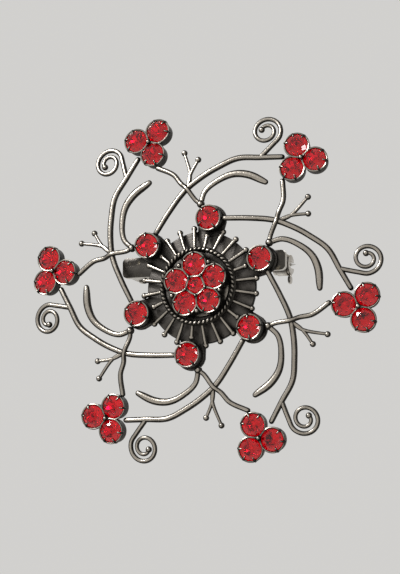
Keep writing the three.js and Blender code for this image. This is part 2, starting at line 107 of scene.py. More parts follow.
camera_data = bpy.data.cameras.new("camera")
camera_data.lens = CAMERA_LENS
camera_data.clip_start = CAMERA_NEAREST
camera = bpy.data.objects.new("camera", camera_data)
bpy.context.scene.camera = aimed(camera, CAMERA_AZIMUTH, CAMERA_ELEVATION, CAMERA_DISTANCE)

room = bpy.data.worlds.new("room")
room.use_nodes = True
light = room.node_tree.nodes["Background"].inputs
light["Color"].default_value = PALE
light["Strength"].default_value = ROOM_STRENGTH
bpy.context.scene.world = room
bpy.context.scene.view_settings.view_transform = "Standard"

for name, azimuth, elevation, size, watts in LAMPS:
    lamp_data = bpy.data.lights.new(name, "AREA")
    lamp_data.size = size
    lamp_data.energy = watts
    aimed(bpy.data.objects.new(name, lamp_data), azimuth, elevation, LAMP_DISTANCE)

bpy.ops.mesh.primitive_plane_add(size=FLOOR_SIZE, location=(0, 0, lowest.z - FLOOR_DROP))
floor = bpy.context.object
floor.name = "floor"
floor_paint = bpy.data.materials.new("floor_paint")
floor_paint.use_nodes = True
paint = floor_paint.node_tree.nodes["Principled BSDF"].inputs
paint["Base Color"].default_value = FLOOR_PAINT
paint["Roughness"].default_value = FLOOR_ROUGHNESS
floor.data.materials.append(floor_paint)


# ---- Pin bar ----------------------------------------------------------------------------
# A strip of nickel-plated brass with two ears folded up from it for the hinge. The whole
# brooch is soldered on its front, and its back lies against the cloth.
BAR_CORNER = 0.9 * MM
BAR_EDGE = 0.14 * MM
EAR_THICKNESS = 0.7 * MM
EAR_EDGE = 0.16 * MM
EAR_CLEARANCE = 0.1 * MM
EAR_POINTS = 40
SHARP = radians(40)
SMOOTH = radians(38)
BRIGHT_NICKEL = (0.66, 0.64, 0.60, 1)
TARNISHED_NICKEL = (0.30, 0.26, 0.21, 1)
SHADE_PAINTED_FRONT = (0.085, 0.078, 0.07, 1)
WORN_TO_BRASS = (0.55, 0.47, 0.33, 1)
BRUSH_WIDTH = 0.05 * MM
BRUSH_LENGTH = 3 * MM
BRUSH_DEPTH = 0.012 * MM


class Link:
    """A socket of a finish's nodes. Arithmetic on it adds Math nodes to the finish."""

    def __init__(self, finish, socket):
        self.finish = finish
        self.socket = socket

    def math(self, operation, *terms):
        return self.finish.node("ShaderNodeMath", {"operation": operation}, dict(enumerate(terms)))

    def __add__(self, other):
        return self.math("ADD", self, other)

    def __radd__(self, other):
        return self.math("ADD", other, self)

    def __sub__(self, other):
        return self.math("SUBTRACT", self, other)

    def __rsub__(self, other):
        return self.math("SUBTRACT", other, self)

    def __mul__(self, other):
        return self.math("MULTIPLY", self, other)

    def __rmul__(self, other):
        return self.math("MULTIPLY", other, self)


class Finish:
    """A material made of nodes round one Principled shader."""

    def __init__(self, name, constants):
        self.material = bpy.data.materials.new(name)
        self.material.use_nodes = True
        self.tree = self.material.node_tree
        self.shader = self.tree.nodes["Principled BSDF"]
        for socket, value in constants.items():
            self.shader.inputs[socket].default_value = value
        self.place = self.node("ShaderNodeTexCoord", {}, {}, "Object")

    def node(self, kind, settings, sockets, out=0):
        """Adds a node: its settings are set first, then its sockets are filled or linked."""
        made = self.tree.nodes.new(kind)
        for setting, value in settings.items():
            setattr(made, setting, value)
        for socket, value in sockets.items():
            if isinstance(value, Link):
                self.tree.links.new(value.socket, made.inputs[socket])
            else:
                made.inputs[socket].default_value = value
        return Link(self, made.outputs[out])

    def feed(self, socket, link):
        self.tree.links.new(link.socket, self.shader.inputs[socket])

    def noise(self, size, detail=2.0):
        """Cloudy noise from 0 to 1, its clouds about that size in metres."""
        sockets = {"Vector": self.place, "Scale": 1 / size, "Detail": detail}
        return self.node("ShaderNodeTexNoise", {}, sockets, "Fac")

    def lines(self, width, length, way):
        """Noise drawn out into fine lines along one axis, as brushing and drawing leave."""
        stretch = [1 / width] * 3
        stretch[way] = 1 / length
        place = self.node("ShaderNodeMapping", {}, {"Vector": self.place, "Scale": stretch})
        sockets = {"Vector": place, "Scale": 1.0, "Detail": 2.0}
        return self.node("ShaderNodeTexNoise", {}, sockets, "Fac")

    def ease(self, value, start, end, low=0.0, high=1.0):
        """A value taken smoothly from one range, start to end, to another, low to high."""
        sockets = {"Value": value, "From Min": start, "From Max": end, "To Min": low, "To Max": high}
        return self.node("ShaderNodeMapRange", {"interpolation_type": "SMOOTHSTEP"}, sockets)

    def blend(self, share, first, second):
        """The first colour going over to the second."""
        return self.node("ShaderNodeMix", {"data_type": "RGBA"}, {0: share, 6: first, 7: second}, 2)

    def nooks(self, reach):
        """1 in the open, falling to 0 in corners narrower than that reach."""
        return self.node("ShaderNodeAmbientOcclusion", {"samples": 8}, {"Distance": reach}, "AO")

    def bump(self, height, depth):
        sockets = {"Height": height, "Distance": depth, "Strength": 1.0}
        self.feed("Normal", self.node("ShaderNodeBump", {}, sockets))


def finished(name, bm, body, slot, *materials, crease=SMOOTH):
    """Makes the shapes in a bmesh a piece that rides on a body; crease 0 leaves it faceted."""
    mesh = bpy.data.meshes.new(name)
    bm.to_mesh(mesh)
    bm.free()
    for material in materials:
        mesh.materials.append(material)
    if crease:
        mesh.shade_smooth()
        mesh.set_sharp_from_angle(angle=crease)
    piece = bpy.data.objects.new(name, mesh)
    bpy.context.scene.collection.objects.link(piece)
    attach(piece, body)
    return piece


def ease_edges(bm, width, segments=2):
    """Rounds every edge of a shape that is sharper than 40 degrees."""
    bmesh.ops.recalc_face_normals(bm, faces=bm.faces)
    sharp = [edge for edge in bm.edges if edge.is_manifold and edge.calc_face_angle() > SHARP]
    bmesh.ops.bevel(
        bm, geom=sharp, offset=width, segments=segments, profile=0.5, material=-1,
        affect="EDGES", clamp_overlap=True,
    )


def block(bm, low, high):
    """Adds a box between two corners."""
    low, high = Vector(low), Vector(high)
    seat = Matrix.Translation((low + high) / 2) @ Matrix.Diagonal((*(high - low), 1))
    bmesh.ops.create_cube(bm, size=1, matrix=seat)


def join_in(bm, shape):
    """Moves the shapes of one bmesh into another."""
    mesh = bpy.data.meshes.new("joining")
    shape.to_mesh(mesh)
    shape.free()
    bm.from_mesh(mesh)
    bpy.data.meshes.remove(mesh)


joints = {joint["name"]: Vector(joint["pos_m"]) for joint in frame["joints"]}
hinge = joints["pin_hinge"]
bar_low, bar_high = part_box("pin_bar")
bar_front = bar_low.y
ear_radius = bar_high.y - hinge.y
knuckle_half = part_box("pin_stem")[1].z
ear_inner = knuckle_half + EAR_CLEARANCE

nickel = Finish("nickel_plate", {"Metallic": 1.0})
brushing = nickel.lines(BRUSH_WIDTH, BRUSH_LENGTH, 0)
tarnish = nickel.ease(nickel.noise(3.5 * MM, 4.0) + 0.5 * nickel.nooks(1.2 * MM), 0.62, 1.15)
wear = nickel.ease(nickel.noise(1.1 * MM, 5.0), 0.56, 0.72)
plate = nickel.blend(tarnish, TARNISHED_NICKEL, BRIGHT_NICKEL)
faces = nickel.node("ShaderNodeTexCoord", {}, {}, "Normal")
depth = nickel.node("ShaderNodeSeparateXYZ", {}, {"Vector": faces}, "Y")
# Painted shade: faces turned forward, which lie under the brooch, are darkened.
plate = nickel.blend(nickel.ease(0 - depth, 0.3, 0.8), plate, SHADE_PAINTED_FRONT)
nickel.feed("Base Color", nickel.blend(0.35 * wear, plate, WORN_TO_BRASS))
nickel.feed("Roughness", nickel.ease(brushing + 0.7 * (1 - tarnish), 0.2, 1.3, 0.2, 0.5))
nickel.bump(brushing + 0.5 * nickel.noise(0.4 * MM), BRUSH_DEPTH)

bm = bmesh.new()
block(bm, (bar_low.x, bar_front, bar_low.z), (bar_high.x, 0, bar_high.z))
corners = [edge for edge in bm.edges if abs(edge.verts[0].co.y - edge.verts[1].co.y) > MM]
bmesh.ops.bevel(
    bm, geom=corners, offset=BAR_CORNER, segments=6, profile=0.5, material=-1, affect="EDGES",
)
ease_edges(bm, BAR_EDGE)
for side in (-1, 1):
    ear = bmesh.new()
    seat = Matrix.Translation((hinge.x, hinge.y, side * ear_inner))
    rim = bmesh.ops.create_circle(
        ear, cap_ends=True, segments=EAR_POINTS, radius=ear_radius, matrix=seat,
    )
    foot = [corner for corner in rim["verts"] if corner.co.y < hinge.y - EAR_CLEARANCE]
    bmesh.ops.translate(ear, vec=(0, bar_front / 2 + ear_radius - hinge.y, 0), verts=foot)
    outer = bmesh.ops.extrude_face_region(ear, geom=ear.faces[:])["geom"]
    outer = [item for item in outer if isinstance(item, bmesh.types.BMVert)]
    bmesh.ops.translate(ear, vec=(0, 0, side * EAR_THICKNESS), verts=outer)
    ease_edges(ear, EAR_EDGE, 3)
    join_in(bm, ear)
pin_bar = finished("plated_bar", bm, "brooch", "plated_findings", nickel.material)
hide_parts("pin_bar")


# ---- Back plate -------------------------------------------------------------------------
# A cast pewter disc with a lobe out to each single stone, painted near black as shadow
# between the rays. It is soldered across the front of the pin bar.
REPEATS = 6
STEP = 360 / REPEATS
FIRST_SINGLE = 20.8
FIRST_TREFOIL = 50.8
PLATE_POINTS = 288
PLATE_EDGE = 0.16 * MM
PLATE_SETBACK = 2.3 * MM
LOBE_MARGIN = 0.25 * MM
SHADOW_BLACKS = (0.012, 0.011, 0.010, 1), (0.13, 0.12, 0.106, 1), (0.13, 0.12, 0.11, 1)
CASTING_GRAIN = 0.22 * MM
CASTING_CLOUD = 2.6 * MM
CASTING_DEPTH = 0.03 * MM
PATINA_REACH = 1.3 * MM


def pewter(name, patina, cast, rubbed_and_highlight, gloss):
    """Antiqued cast pewter: black in its corners, and a light colour on crests turned forward that is partly
    rubbed wear and partly a painted highlight.
    """
    finish = Finish(name, {"Metallic": 1.0})
    faces = finish.node("ShaderNodeTexCoord", {}, {}, "Normal")
    depth = finish.node("ShaderNodeSeparateXYZ", {}, {"Vector": faces}, "Y")
    grain = finish.noise(CASTING_GRAIN, 4.0)
    cloud = finish.noise(CASTING_CLOUD, 3.0)
    open_air = finish.ease(finish.nooks(PATINA_REACH), 0.35, 0.95)
    forward = finish.ease(0 - depth, 0.70, 1.0)
    backward = finish.ease(depth, 0.1, 0.8)
    # Painted highlight, partly real wear: crests turned forward take the light rubbed colour.
    rubbed_and_highlight_mask = finish.ease(forward * open_air + 0.7 * (cloud - 0.5) + 0.5 * (grain - 0.5), 0.35, 1.0)
    bare = finish.ease(backward * open_air + 0.9 * (cloud - 0.5) + 0.3 * grain, 0.2, 1.1)
    body = finish.blend(bare, patina, cast)
    finish.feed("Base Color", finish.blend(rubbed_and_highlight_mask, body, rubbed_and_highlight))
    finish.feed("Roughness", finish.ease(rubbed_and_highlight_mask + 0.3 * grain, 0.1, 1.2, 0.55, gloss))
    finish.bump(grain + 0.8 * finish.noise(0.7 * MM), CASTING_DEPTH)
    return finish.material


# Painted shadow: all the plate's colours are kept near black to stand for shade between the rays.
shadow_black = pewter("blackened_pewter", *SHADOW_BLACKS, 0.42)

axis = sum(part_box("flower_stone_middle"), Vector()) / 2
plate_low, plate_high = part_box("back_plate")
cup_low, cup_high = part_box("single_cup_1")
singles_ring = hypot((cup_low.x + cup_high.x) / 2 - axis.x, (cup_low.z + cup_high.z) / 2 - axis.z)
cup_radius = (cup_high.x - cup_low.x) / 2
plate_radius = singles_ring - PLATE_SETBACK
lobe_radius = cup_radius + LOBE_MARGIN


def plate_reach(angle):
    """How far the plate reaches from its middle that way: to its disc or to a lobe."""
    reach = plate_radius
    for lobe in range(REPEATS):
        apart = angle - radians(FIRST_SINGLE + STEP * lobe)
        aside = singles_ring * sin(apart)
        if cos(apart) > 0 and abs(aside) < lobe_radius:
            reach = max(reach, singles_ring * cos(apart) + sqrt(lobe_radius**2 - aside**2))
    return reach


bm = bmesh.new()
for corner in bmesh.ops.create_circle(bm, cap_ends=True, segments=PLATE_POINTS, radius=1)["verts"]:
    angle = atan2(corner.co.y, corner.co.x)
    reach = plate_reach(angle)
    corner.co = Vector((axis.x + reach * cos(angle), plate_high.y, axis.z + reach * sin(angle)))
front = bmesh.ops.extrude_face_region(bm, geom=bm.faces[:])["geom"]
front = [item for item in front if isinstance(item, bmesh.types.BMVert)]
bmesh.ops.translate(bm, vec=(0, plate_low.y - plate_high.y, 0), verts=front)
ease_edges(bm, PLATE_EDGE, 3)
back_plate = finished("cast_plate", bm, "brooch", "blackened_pewter", shadow_black)
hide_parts("back_plate")


# ---- Ray rosette ------------------------------------------------------------------------
# A cast pewter collar with 24 rays, each a tapering rod that ends in a grain. It is domed
# so that the rays run down from the flower to the plate. A twisted wire trims the collar.
RAYS = 24
RAY_ROOT = 0.62 * MM
RAY_TIP = 0.86 * MM
RAY_GRAIN = 1.14 * MM
RAY_SETBACK = 1.3 * MM
RAY_WIDTH = 1.05 * MM
JOIN = 0.3 * MM
COLLAR_INNER = 6.4 * MM
COLLAR_EDGE = 0.2 * MM
COLLAR_WIDTH = 1.0 * MM
COLLAR_THICKNESS = 0.8 * MM
TWIST_STRAND = 0.42 * MM
TWISTS = 26
TWIST_STEPS = 10
TWIST_SIDES = 8
RAY_STEPS = 6
TURNING_STEPS = 40
COLLAR_STEPS = 120
END_TURNS = (30, 58, 82)
SQUASH = 0.8
MERGE = 0.001 * MM
FORWARD = Vector((0, -1, 0))
# Patina, cast and crest colours; the crest colour is partly rubbed wear and partly a painted highlight.
ANTIQUING_WITH_HIGHLIGHT = (0.024, 0.022, 0.019, 1), (0.20, 0.186, 0.164, 1), (0.46, 0.42, 0.365, 1)


def smooth_run(points, steps):
    """Places along a smooth line through the points, with so many steps between each two."""
    ends = [2 * points[0] - points[1], *points, 2 * points[-1] - points[-2]]
    run = []
    for before, start, end, after in zip(ends, ends[1:], ends[2:], ends[3:]):
        pull = (end - start).length / 3
        leave = start + pull * (end - before).normalized()
        arrive = end - pull * (after - start).normalized()
        run += interpolate_bezier(start, leave, arrive, end, steps + 1)[:-1]
    return [*run, points[-1]]


def rounded_end(stations):
    """The stations of a wire, going on past the last one in a half-round end."""
    (before, _), (place, radius) = stations[-2:]
    along = (place - before).normalized()
    return stations + [
        (place + along * radius * sin(radians(turn)), radius * cos(radians(turn)))
        for turn in END_TURNS
    ]


def draw_wire(bm, run, diameter, sides=14, depth=1.0):
    """Draws wire along a run of places. diameter(share) is its width, depth its flatness."""
    stations = [(place, diameter(spot / (len(run) - 1)) / 2) for spot, place in enumerate(run)]
    stations = rounded_end(rounded_end(stations)[::-1])[::-1]
    wire = bmesh.new()
    rim = before = None
    for spot, (place, radius) in enumerate(stations):
        ahead = stations[min(spot + 1, len(stations) - 1)][0]
        behind = stations[max(spot - 1, 0)][0]
        along = (ahead - behind).normalized()
        aside = along.cross(FORWARD).normalized()
        front = aside.cross(along)
        seat = Matrix((radius * aside, depth * radius * front, radius * along)).transposed().to_4x4()
        seat.translation = place
        if rim is None:
            bmesh.ops.create_circle(wire, cap_ends=True, segments=sides, radius=1, matrix=seat)
            rim = wire.edges[:]
        else:
            made = bmesh.ops.extrude_edge_only(wire, edges=rim)["geom"]
            rim = [item for item in made if isinstance(item, bmesh.types.BMEdge) and item.is_boundary]
            moving = [item for item in made if isinstance(item, bmesh.types.BMVert)]
            bmesh.ops.transform(wire, matrix=seat @ before.inverted(), verts=moving)
        before = seat
    bmesh.ops.contextual_create(wire, geom=rim)
    join_in(bm, wire)


def gauge(first, last):
    """A wire's width going evenly from one size to another along it."""
    return lambda share: first + (last - first) * share


def grain(bm, place, diameter, squash=1.0):
    """Adds a round grain of metal, squashed front to back."""
    seat = Matrix.Translation(place) @ Matrix.Diagonal((1, squash, 1, 1))
    bmesh.ops.create_icosphere(bm, subdivisions=3, radius=diameter / 2, matrix=seat)


def turned(bm, outline, seat, steps=TURNING_STEPS):
    """Turns an outline of (radius, height forward) round the seat's own -Y axis."""
    points = [bmesh.ops.create_vert(bm, co=seat @ Vector((r, -h, 0)))["vert"][0] for r, h in outline]
    rings = [
        bmesh.ops.contextual_create(bm, geom=[first, second])["edges"][0]
        for first, second in zip(points, points[1:] + points[:1])
        if (first.co - second.co).length > 0
    ]
    bmesh.ops.spin(
        bm, geom=points + rings, cent=seat.translation, axis=seat.to_3x3() @ Vector((0, 1, 0)),
        angle=2 * pi, steps=steps, use_merge=True,
    )


def clean(bm):
    """Closes seams and poles, and points every face outwards."""
    bmesh.ops.remove_doubles(bm, verts=bm.verts, dist=MERGE)
    bmesh.ops.recalc_face_normals(bm, faces=bm.faces)


def wheel_point(radius, degrees, height):
    """A place of the wheel: radius and angle seen from the front, and height forward."""
    angle = radians(degrees)
    return Vector((axis.x + radius * cos(angle), -height, axis.z + radius * sin(angle)))


antique = pewter("antique_pewter", *ANTIQUING_WITH_HIGHLIGHT, 0.28)

rosette_low, rosette_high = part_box("ray_rosette")
collar_front = -rosette_low.y
tips_back = -rosette_high.y
ray_reach = singles_ring - RAY_SETBACK
collar_middle = COLLAR_INNER + COLLAR_WIDTH / 2
ray_drop = collar_front - tips_back - RAY_TIP


def ray_height(radius):
    """Height forward of a ray's middle, falling from the collar to the tips."""
    share = (ray_reach - radius) / (ray_reach - COLLAR_INNER)
    return tips_back + RAY_TIP / 2 + ray_drop * share


bm = bmesh.new()
for ray in range(RAYS):
    degrees = FIRST_TREFOIL + 360 * ray / RAYS
    apart = radians((degrees - FIRST_SINGLE) % STEP)
    apart = min(apart, radians(STEP) - apart)
    aside = singles_ring * sin(apart)
    clear = cup_radius + JOIN + RAY_WIDTH / 2
    tip = ray_reach - RAY_WIDTH / 2
    if aside < clear:
        tip = min(tip, singles_ring * cos(apart) - sqrt(clear**2 - aside**2))
    run = [
        wheel_point(radius, degrees, ray_height(radius))
        for radius in (
            collar_middle + (tip - collar_middle) * spot / RAY_STEPS for spot in range(RAY_STEPS + 1)
        )
    ]
    draw_wire(bm, run, gauge(RAY_ROOT, RAY_TIP))
    grain(bm, run[-1], RAY_GRAIN, SQUASH)
seat = Matrix.Translation((axis.x, 0, axis.z))
collar_back = collar_front - COLLAR_THICKNESS
turned(bm, [
    (COLLAR_INNER, collar_back),
    (COLLAR_INNER + COLLAR_WIDTH, collar_back),
    (COLLAR_INNER + COLLAR_WIDTH, collar_front - COLLAR_EDGE),
    (COLLAR_INNER + COLLAR_WIDTH - COLLAR_EDGE, collar_front),
    (COLLAR_INNER + COLLAR_EDGE, collar_front),
    (COLLAR_INNER, collar_front - COLLAR_EDGE),
], seat, COLLAR_STEPS)
for strand in (0, pi):
    run = []
    for step in range(TWISTS * TWIST_STEPS + 1):
        turn = 2 * pi * step / TWIST_STEPS + strand
        radius = collar_middle + TWIST_STRAND / 2 * cos(turn)
        height = collar_front + TWIST_STRAND / 2 * sin(turn)
        run.append(wheel_point(radius, 360 * step / (TWISTS * TWIST_STEPS), height))
    draw_wire(bm, run, gauge(TWIST_STRAND, TWIST_STRAND), TWIST_SIDES)
clean(bm)
rosette = finished("rayed_collar", bm, "brooch", "antique_pewter", antique)
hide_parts("ray_rosette")


# ---- Stone cups -------------------------------------------------------------------------
# Every stone sits in a turned pewter cup with a rolled lip, held by small claws that are
# pressed down over its edge. Six single cups stand on the plate's lobes.
STONE_RADIUS = 2.1 * MM
MIDDLE_RADIUS = 1.55 * MM
SEAT_CLEARANCE = 0.07 * MM
CUP_WALL = 0.3 * MM
CUP_FLOOR = 0.35 * MM
BACK_DISH = 0.15 * MM
DISH_RIM = 1.1 * MM
# Steps in from a cup's outside, with heights above its back, then above its stone's edge.
CUP_FOOT = (1.0 * MM, 0), (0.30 * MM, 0), (0.22 * MM, 0.10 * MM)
CUP_SIDE = (0.16 * MM, -0.75 * MM), (0.10 * MM, -0.35 * MM), (0.03 * MM, -0.18 * MM), (0, 0)
CUP_LIP = (0.04 * MM, 0.15 * MM), (0.14 * MM, 0.20 * MM), (0.27 * MM, 0.16 * MM)
CUP_SEAT = (0.30 * MM, -0.05 * MM), (0.80 * MM, -0.55 * MM)
CLAW_ROUTE = (
    (0.20 * MM, -0.55 * MM), (0.15 * MM, 0.02 * MM), (0.42 * MM, 0.37 * MM), (0.78 * MM, 0.55 * MM),
)
PAVILION = 0.84
CROWN = 0.34
GIRDLE = 0.2 * MM
CLAW_FOOT = 0.52 * MM
CLAW_TIP = 0.34 * MM
CLAW_STEPS = 4
CLAW_SIDES = 10
SINGLE_CLAWS = (45, 135, 225, 315)


def girdle_height(radius):
    """Height of a stone's edge above the back of its cup."""
    return CUP_FLOOR + PAVILION * radius + SEAT_CLEARANCE


def add_cup(bm, seat, radius, claws, skirt=0):
    """Adds a cup whose back is at the seat, with claws at those angles round its own axis."""
    outer = radius + SEAT_CLEARANCE + CUP_WALL
    edge = girdle_height(radius)
    turned(bm, [
        (0, BACK_DISH - skirt),
        (outer - DISH_RIM, BACK_DISH - skirt),
        *((outer - inset, height - skirt) for inset, height in CUP_FOOT),
        *((outer - inset, edge + height) for inset, height in CUP_SIDE + CUP_LIP + CUP_SEAT),
        (0, CUP_FLOOR),
    ], seat)
    for degrees in claws:
        out = seat @ Matrix.Rotation(-radians(degrees), 4, "Y")
        points = [out @ Vector((outer - inset, -edge - height, 0)) for inset, height in CLAW_ROUTE]
        draw_wire(bm, smooth_run(points, CLAW_STEPS), gauge(CLAW_FOOT, CLAW_TIP), CLAW_SIDES)


single_base = -cup_high.y
for k in range(REPEATS):
    degrees = FIRST_SINGLE + STEP * k
    seat = Matrix.Translation(wheel_point(singles_ring, degrees, single_base))
    bm = bmesh.new()
    add_cup(bm, seat, STONE_RADIUS, [claw + degrees for claw in SINGLE_CLAWS])
    clean(bm)
    cup = finished(f"claw_cup_{k + 1}", bm, "brooch", "antique_pewter", antique)
    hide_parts(f"single_cup_{k + 1}")


# ---- Flower setting ---------------------------------------------------------------------
# Five cups cast in one with a smaller one in their middle, on a stepped foot, with grains
# in the gaps between them. It stands on the plate inside the collar.
FLOWER_STONES = 5
FLOWER_TURN = 94
FLOWER_FOOT = 1.2 * MM
FLOWER_CLAWS = (-62, 0, 62)
SKIRT = 0.9 * MM
GAP_GRAIN = 0.95 * MM
GAP_GRAIN_PLACE = 1.28
GAP_GRAIN_LIFT = 0.05 * MM
MIDDLE_GRAIN = 0.62 * MM
MIDDLE_GRAIN_PLACE = 0.52
MIDDLE_GRAIN_LIFT = 0.30 * MM
MIDDLE_NECK = 1.5 * MM
# Reaches past the ring of stones, with heights above the foot's back.
FOOT_OUTLINE = (
    (1.6 * MM, 0), (1.6 * MM, 0.35 * MM), (0.9 * MM, 0.6 * MM), (0.4 * MM, FLOWER_FOOT),
)
FOOT_STEPS = 60
STONE_SPACING = 0.3 * MM

foot_back = -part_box("flower_setting")[1].y
flower_floor = foot_back + FLOWER_FOOT
flower_ring = (STONE_RADIUS + STONE_SPACING / 2) / sin(pi / FLOWER_STONES)
flower_edge = flower_floor + girdle_height(STONE_RADIUS)
middle_floor = flower_edge - girdle_height(MIDDLE_RADIUS)

bm = bmesh.new()
for k in range(FLOWER_STONES):
    degrees = FLOWER_TURN + 360 * k / FLOWER_STONES
    seat = Matrix.Translation(wheel_point(flower_ring, degrees, flower_floor))
    add_cup(bm, seat, STONE_RADIUS, [degrees + claw for claw in FLOWER_CLAWS], SKIRT)
    between = degrees + 180 / FLOWER_STONES
    for size, place, lift in (
        (GAP_GRAIN, GAP_GRAIN_PLACE, GAP_GRAIN_LIFT),
        (MIDDLE_GRAIN, MIDDLE_GRAIN_PLACE, MIDDLE_GRAIN_LIFT),
    ):
        grain(bm, wheel_point(flower_ring * place, between, flower_edge + lift), size)
seat = Matrix.Translation((axis.x, 0, axis.z))
turned(bm, [
    (0, foot_back),
    *((flower_ring + reach, foot_back + height) for reach, height in FOOT_OUTLINE),
    (MIDDLE_NECK, flower_floor),
    (MIDDLE_NECK, middle_floor),
    (0, middle_floor),
], seat, FOOT_STEPS)
add_cup(bm, Matrix.Translation((axis.x, -middle_floor, axis.z)), MIDDLE_RADIUS, [])
clean(bm)
flower = finished("flower_cups", bm, "brooch", "antique_pewter", antique)
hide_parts("flower_setting")


# ---- Trefoils ---------------------------------------------------------------------------
# Three cups soldered together, one towards the middle and two outwards, with a grain where
# they meet. Each trefoil leans back with the dome at the end of its arm.
TREFOIL_STONES = 3
TREFOIL_LEAN = 10
TREFOIL_CLAWS = (-58, 0, 58)
TREFOIL_GRAIN = 0.95 * MM
TREFOIL_GRAIN_LIFT = 0.10 * MM
ARM_SPAN = 17.3 * MM
DOME_RISE = 4 * MM
RIM_HEIGHT = 0.3 * MM

trefoil_ring = singles_ring + ARM_SPAN
trefoil_offset = (STONE_RADIUS + STONE_SPACING / 2) / sin(pi / TREFOIL_STONES)
trefoil_back = (girdle_height(STONE_RADIUS) + GIRDLE) / 2


def dome(radius):
    """Height forward of the domed wheel at that radius."""
    return RIM_HEIGHT + DOME_RISE * (1 - (radius / trefoil_ring) ** 2)


def trefoil_seat(k):
    """Where trefoil k is: its own X points outwards and its own -Y forward."""
    degrees = FIRST_TREFOIL + STEP * k
    place = Matrix.Translation(wheel_point(trefoil_ring, degrees, dome(trefoil_ring)))
    lean = Matrix.Rotation(radians(TREFOIL_LEAN), 4, "Z")
    return place @ Matrix.Rotation(-radians(degrees), 4, "Y") @ lean


def trefoil_places(height):
    """The three stones' places in a trefoil's own seat, that far forward."""
    places = []
    for stone in range(TREFOIL_STONES):
        angle = pi + 2 * pi * stone / TREFOIL_STONES
        spot = (trefoil_offset * cos(angle), -height, trefoil_offset * sin(angle))
        places.append((Matrix.Translation(spot), angle))
    return places


for k in range(REPEATS):
    bm = bmesh.new()
    seat = trefoil_seat(k)
    for place, angle in trefoil_places(-trefoil_back):
        claws = [angle * 180 / pi + claw for claw in TREFOIL_CLAWS]
        add_cup(bm, seat @ place, STONE_RADIUS, claws)
    grain(bm, seat @ Vector((0, -trefoil_back - TREFOIL_GRAIN_LIFT, 0)), TREFOIL_GRAIN)
    clean(bm)
    cups = finished(f"trefoil_{k + 1}", bm, "brooch", "antique_pewter", antique)
    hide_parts(f"trefoil_cups_{k + 1}")


# ---- Scroll arms ------------------------------------------------------------------------
# Round pewter wires: an arm sweeps from a single cup out to a trefoil and throws off a
# scroll that curls in on a ball. A link, a leaf and two buds spring from a bead beside it.
ARM_WIRE = 1.15 * MM
ARM_ENDS = 0.88
ARM_STEPS = 8
LINK_WIRE = 1.0 * MM
LINK_END = 0.88 * MM
LINK_STEPS = 7
SCROLL_WIRE = 0.95 * MM
SCROLL_END = 0.741 * MM
SCROLL_BALL = 1.2 * MM
LEAF_WIRE = 1.0 * MM
LEAF_SWELL = 1.9 * MM
LEAF_CLOSING = 0.9
LEAF_FLATNESS = 0.8
BUD_WIRE = 0.8 * MM
BUD_END = 0.6 * MM
BUD_BALL = 1.15 * MM
BUD_STEPS = 6
BUD_SIDES = 12
BALL_SQUASH = 0.9
BEAD = 1.5 * MM
LINK_LIFT = 0.45 * MM
SCROLL_RADIUS = 2.97 * MM
SCROLL_EYE = 0.95 * MM
SCROLL_TURNS = 1.6
SCROLL_POINTS = 10
SCROLL_STEPS = 5
SCROLL_START = -20
SIDEWAYS = 90
SCROLL_CLEARANCE = 0.63 * MM
ARM_ROUTE = ((0.164, 61.2), (0.327, 48.8), (0.455, 39.2), (0.573, 31.2), (0.705, 23.2), (0.79, 14.2))
LINK_ROUTE = ((0.548, 53.6), (0.423, 50.4), (0.345, 47), (0.207, 42.2))
LEAF_ROUTE = ((0.295, 36.2), (0.415, 30.2), (0.523, 22.8), (0.569, 15.2), (0.58, 6.2))
BUD_ROUTE = ((0.345, 47), (0.496, 45))
BUD_TIPS = ((0.76, 47.2), (0.66, 41))
ARM_EXIT = -83
BEAD_EXIT = 41.7

trefoil_reach = trefoil_offset + cup_radius


def on_dome(radius, degrees):
    return wheel_point(radius, degrees, dome(radius))


def step_from(place, distance, degrees):
    """A place that far from another across the wheel, back on the dome."""
    angle = radians(degrees)
    x = place.x - axis.x + distance * cos(angle)
    z = place.z - axis.z + distance * sin(angle)
    return Vector((axis.x + x, -dome(hypot(x, z)), axis.z + z))


